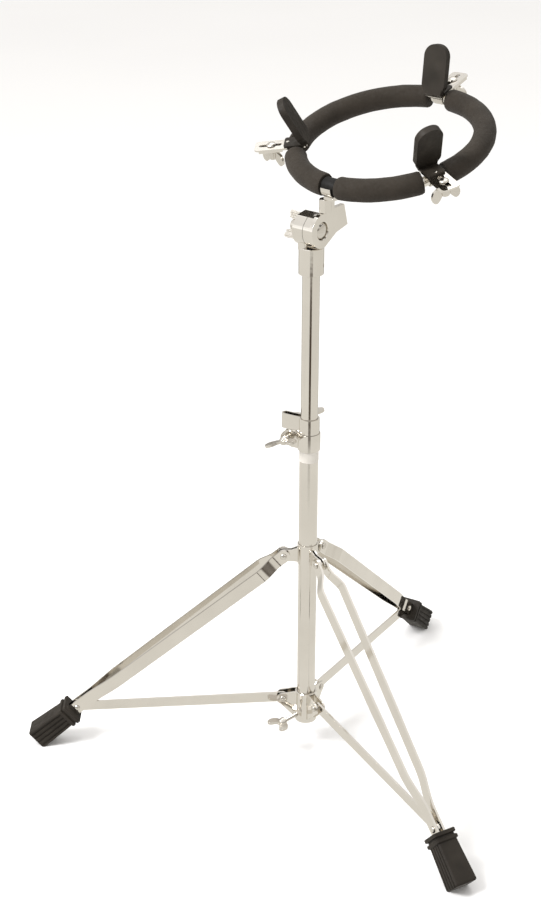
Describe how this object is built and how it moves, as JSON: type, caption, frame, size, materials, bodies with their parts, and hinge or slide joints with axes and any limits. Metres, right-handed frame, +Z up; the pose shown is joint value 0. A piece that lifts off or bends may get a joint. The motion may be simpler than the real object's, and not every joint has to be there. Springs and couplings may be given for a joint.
{
  "type": "hand drum stand",
  "caption": "Folding double-braced tripod stand with a telescoping mast, tilter, foam-padded hoop and sliding rubber-covered claws that hold a hand drum.",
  "frame": {"origin": "centre of the stand's footprint box, on the floor", "axes": "+Z up along the mast; the mast stands to +X of the origin and leg a runs towards -X; the hoop reaches out towards +X +Y"},
  "size_m": [0.6296, 0.7016, 0.9651],
  "materials": {
    "chrome": "polished",
    "plated_steel": "bright plated",
    "rubber": "matte moulded",
    "foam": "closed-cell foam, matte",
    "nylon": "moulded"
  },
  "bodies": {
    "stand": {"lower_tube": "chrome", "leg_collar": "chrome", "height_clamp": "chrome", "collar_rivet_a": "plated_steel", "collar_rivet_b": "plated_steel", "collar_rivet_c": "plated_steel"},
    "hub": {"brace_hub": "chrome", "hub_rivet_a": "plated_steel", "hub_rivet_b": "plated_steel", "hub_rivet_c": "plated_steel"},
    "leg_a": {"leg_strap_a_left": "chrome", "leg_strap_a_right": "chrome", "rubber_foot_a": "rubber", "foot_rivet_a": "plated_steel"},
    "brace_a": {"brace_a": "chrome"},
    "leg_b": {"leg_strap_b_left": "chrome", "leg_strap_b_right": "chrome", "rubber_foot_b": "rubber", "foot_rivet_b": "plated_steel"},
    "brace_b": {"brace_b": "chrome"},
    "leg_c": {"leg_strap_c_left": "chrome", "leg_strap_c_right": "chrome", "rubber_foot_c": "rubber", "foot_rivet_c": "plated_steel"},
    "brace_c": {"brace_c": "chrome"},
    "mast_carrier": {"mast_end_plug": "nylon"},
    "mast": {"upper_tube": "chrome", "tilter_base": "chrome", "set_screw": "plated_steel", "tilter_bolt": "plated_steel"},
    "lock": {"memory_lock": "chrome"},
    "head": {"tilter_arm": "chrome", "saddle_post": "chrome", "hoop_saddle": "chrome", "saddle_liner": "rubber", "hoop_core": "chrome", "foam_sleeve_back_left": "foam", "foam_sleeve_back_right": "foam", "foam_sleeve_front_left": "foam", "foam_sleeve_front_right": "foam", "claw_clip_back": "plated_steel", "claw_bolt_back": "plated_steel", "claw_clip_left": "plated_steel", "claw_bolt_left": "plated_steel", "claw_clip_right": "plated_steel", "claw_bolt_right": "plated_steel"},
    "claw_back": {"claw_bracket_back": "chrome", "claw_cover_back": "rubber"},
    "claw_nut_back": {"claw_wing_nut_back": "plated_steel"},
    "claw_left": {"claw_bracket_left": "chrome", "claw_cover_left": "rubber"},
    "claw_nut_left": {"claw_wing_nut_left": "plated_steel"},
    "claw_right": {"claw_bracket_right": "chrome", "claw_cover_right": "rubber"},
    "claw_nut_right": {"claw_wing_nut_right": "plated_steel"},
    "height_bolt": {"height_wing_bolt": "plated_steel"},
    "hub_bolt": {"hub_wing_bolt": "plated_steel"},
    "lock_screw": {"memory_wing_screw": "plated_steel"},
    "tilter_nut": {"tilter_wing_nut": "plated_steel"}
  },
  "joints": [
    {"name": "hub_slide", "type": "slide", "parent": "stand", "child": "hub", "axis": [0, 0, 1], "range_m": [0, 0.139]},
    {"name": "leg_a_fold", "type": "hinge", "parent": "stand", "child": "leg_a", "pos_m": [0.04803, 0, 0.3046], "axis": [0, -1, 0], "range_deg": [0, 45.1]},
    {"name": "brace_a_swing", "type": "hinge", "parent": "hub", "child": "brace_a", "pos_m": [0.04823, 0, 0.0763], "axis": [0, -1, 0], "range_deg": [0, 80.3]},
    {"name": "leg_b_fold", "type": "hinge", "parent": "stand", "child": "leg_b", "pos_m": [0.09753, 0.02858, 0.3046], "axis": [-0.866, 0.5, 0], "range_deg": [0, 45.1]},
    {"name": "brace_b_swing", "type": "hinge", "parent": "hub", "child": "brace_b", "pos_m": [0.09743, 0.02841, 0.0763], "axis": [-0.866, 0.5, 0], "range_deg": [0, 80.3]},
    {"name": "leg_c_fold", "type": "hinge", "parent": "stand", "child": "leg_c", "pos_m": [0.09753, -0.02858, 0.3046], "axis": [0.866, 0.5, 0], "range_deg": [0, 45.1]},
    {"name": "brace_c_swing", "type": "hinge", "parent": "hub", "child": "brace_c", "pos_m": [0.09743, -0.02841, 0.0763], "axis": [0.866, 0.5, 0], "range_deg": [0, 80.3]},
    {"name": "height_slide", "type": "slide", "parent": "stand", "child": "mast_carrier", "axis": [0, 0, 1], "range_m": [-0.19, 0.14]},
    {"name": "mast_swivel", "type": "hinge", "parent": "mast_carrier", "child": "mast", "pos_m": [0.08103, 0, 0.6], "axis": [0, 0, 1], "continuous": true},
    {"name": "lock_slide", "type": "slide", "parent": "stand", "child": "lock", "axis": [0, 0, 1], "range_m": [0, 0.15]},
    {"name": "hoop_tilt", "type": "hinge", "parent": "mast", "child": "head", "pos_m": [0.08103, 0, 0.768], "axis": [0.788, -0.6157, 0], "range_deg": [-30, 60]},
    {"name": "claw_back_slide", "type": "slide", "parent": "head", "child": "claw_back", "axis": [0.5912, 0.7567, 0.279], "range_m": [-0.013, 0.011]},
    {"name": "claw_nut_back_turn", "type": "hinge", "parent": "head", "child": "claw_nut_back", "pos_m": [0.271, 0.19541, 0.90125], "axis": [-0.1718, -0.2198, 0.9603], "continuous": true},
    {"name": "claw_left_slide", "type": "slide", "parent": "head", "child": "claw_left", "axis": [-0.978, 0.1548, -0.1395], "range_m": [-0.013, 0.011]},
    {"name": "claw_nut_left_turn", "type": "hinge", "parent": "head", "child": "claw_nut_left", "pos_m": [0.03169, 0.10362, 0.83743], "axis": [-0.1718, -0.2198, 0.9603], "continuous": true},
    {"name": "claw_right_slide", "type": "slide", "parent": "head", "child": "claw_right", "axis": [0.3868, -0.9115, -0.1395], "range_m": [-0.013, 0.011]},
    {"name": "claw_nut_right_turn", "type": "hinge", "parent": "head", "child": "claw_nut_right", "pos_m": [0.23983, -0.059, 0.83743], "axis": [-0.1718, -0.2198, 0.9603], "continuous": true},
    {"name": "height_bolt_turn", "type": "hinge", "parent": "stand", "child": "height_bolt", "pos_m": [0.05384, 0.01268, 0.4758], "axis": [-0.4226, -0.9063, 0], "continuous": true},
    {"name": "hub_bolt_turn", "type": "hinge", "parent": "hub", "child": "hub_bolt", "pos_m": [0.06688, -0.01414, 0.055], "axis": [-0.7071, -0.7071, 0], "continuous": true},
    {"name": "lock_screw_turn", "type": "hinge", "parent": "lock", "child": "lock_screw", "pos_m": [0.07928, 0.01992, 0.50165], "axis": [-0.0872, 0.9962, 0], "continuous": true},
    {"name": "tilter_nut_turn", "type": "hinge", "parent": "mast", "child": "tilter_nut", "pos_m": [0.06527, 0.01231, 0.768], "axis": [-0.788, 0.6157, 0], "continuous": true}
  ],
  "couplings": [
    {"joint": "leg_a_fold", "follows": "hub_slide", "rad_per_m": 5.654},
    {"joint": "brace_a_swing", "follows": "hub_slide", "rad_per_m": 10.07},
    {"joint": "leg_b_fold", "follows": "hub_slide", "rad_per_m": 5.654},
    {"joint": "brace_b_swing", "follows": "hub_slide", "rad_per_m": 10.07},
    {"joint": "leg_c_fold", "follows": "hub_slide", "rad_per_m": 5.654},
    {"joint": "brace_c_swing", "follows": "hub_slide", "rad_per_m": 10.07}
  ]
}
